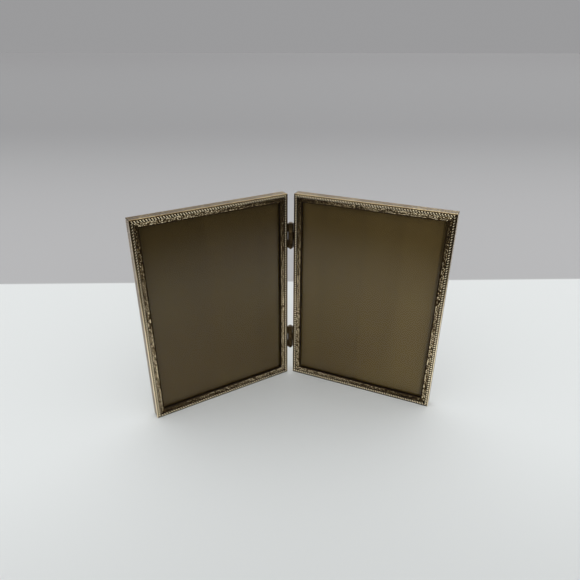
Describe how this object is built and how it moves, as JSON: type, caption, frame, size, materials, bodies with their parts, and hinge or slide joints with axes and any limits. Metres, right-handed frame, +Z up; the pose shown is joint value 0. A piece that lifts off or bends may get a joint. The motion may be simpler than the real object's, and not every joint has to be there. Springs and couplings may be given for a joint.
{
  "type": "hinged double photo frame",
  "caption": "Two upright brass photo frames with mitred rope-edged mouldings, joined like a book by two butt hinges.",
  "frame": {"origin": "middle of the standing pair's footprint, on the surface that it stands on", "axes": "+X to the viewer's right across the open pair, +Y backwards, away from the viewer, +Z up; the two fronts open towards -Y"},
  "size_m": [0.2584, 0.0722, 0.1888],
  "materials": {
    "gold_brass": "antiqued gold-tone, engraved, satin",
    "plain_brass": "plain brass strip",
    "button_brass": "plain brass, tarnished",
    "hinge_brass": "dark aged brass",
    "pane_glass": "clear float glass",
    "brown_paper": "matt brown paper",
    "grey_board": "grey pulp board",
    "backing_cloth": "board covered in dark brown cloth"
  },
  "bodies": {
    "left_frame": {"left_backing_board": "backing_cloth", "left_bottom_rail": "gold_brass", "left_button_rivets": "button_brass", "left_corner_plate_bottom_hinge": "plain_brass", "left_corner_plate_bottom_outer": "plain_brass", "left_corner_plate_top_hinge": "plain_brass", "left_corner_plate_top_outer": "plain_brass", "left_filler_board": "grey_board", "left_glass_pane": "pane_glass", "left_hinge_stile": "gold_brass", "left_insert_sheet": "brown_paper", "left_lower_hinge_leaf": "hinge_brass", "left_outer_stile": "gold_brass", "left_top_rail": "gold_brass", "left_upper_hinge_leaf": "hinge_brass", "lower_hinge_pin": "hinge_brass", "upper_hinge_pin": "hinge_brass"},
    "right_frame": {"right_backing_board": "backing_cloth", "right_bottom_rail": "gold_brass", "right_button_rivets": "button_brass", "right_corner_plate_bottom_hinge": "plain_brass", "right_corner_plate_bottom_outer": "plain_brass", "right_corner_plate_top_hinge": "plain_brass", "right_corner_plate_top_outer": "plain_brass", "right_filler_board": "grey_board", "right_glass_pane": "pane_glass", "right_hinge_stile": "gold_brass", "right_insert_sheet": "brown_paper", "right_lower_hinge_leaf": "hinge_brass", "right_outer_stile": "gold_brass", "right_top_rail": "gold_brass", "right_upper_hinge_leaf": "hinge_brass"},
    "left_hinge_button": {"left_turn_button_hinge": "button_brass"},
    "left_outer_button": {"left_turn_button_outer": "button_brass"},
    "right_hinge_button": {"right_turn_button_hinge": "button_brass"},
    "right_outer_button": {"right_turn_button_outer": "button_brass"}
  },
  "joints": [
    {"name": "fold", "type": "hinge", "parent": "left_frame", "child": "right_frame", "pos_m": [0, 0.02811, 0.0944], "axis": [0, 0, 1], "range_deg": [-125, 78]},
    {"name": "left_hinge_button_turn", "type": "hinge", "parent": "left_frame", "child": "left_hinge_button", "pos_m": [-0.00916, 0.03456, 0.0944], "axis": [-0.4617, 0.887, 0], "range_deg": [-90, 90]},
    {"name": "left_outer_button_turn", "type": "hinge", "parent": "left_frame", "child": "left_outer_button", "pos_m": [-0.12713, -0.02685, 0.0944], "axis": [-0.4617, 0.887, 0], "range_deg": [-90, 90]},
    {"name": "right_hinge_button_turn", "type": "hinge", "parent": "right_frame", "child": "right_hinge_button", "pos_m": [0.00916, 0.03456, 0.0944], "axis": [0.4617, 0.887, 0], "range_deg": [-90, 90]},
    {"name": "right_outer_button_turn", "type": "hinge", "parent": "right_frame", "child": "right_outer_button", "pos_m": [0.12713, -0.02685, 0.0944], "axis": [0.4617, 0.887, 0], "range_deg": [-90, 90]}
  ]
}
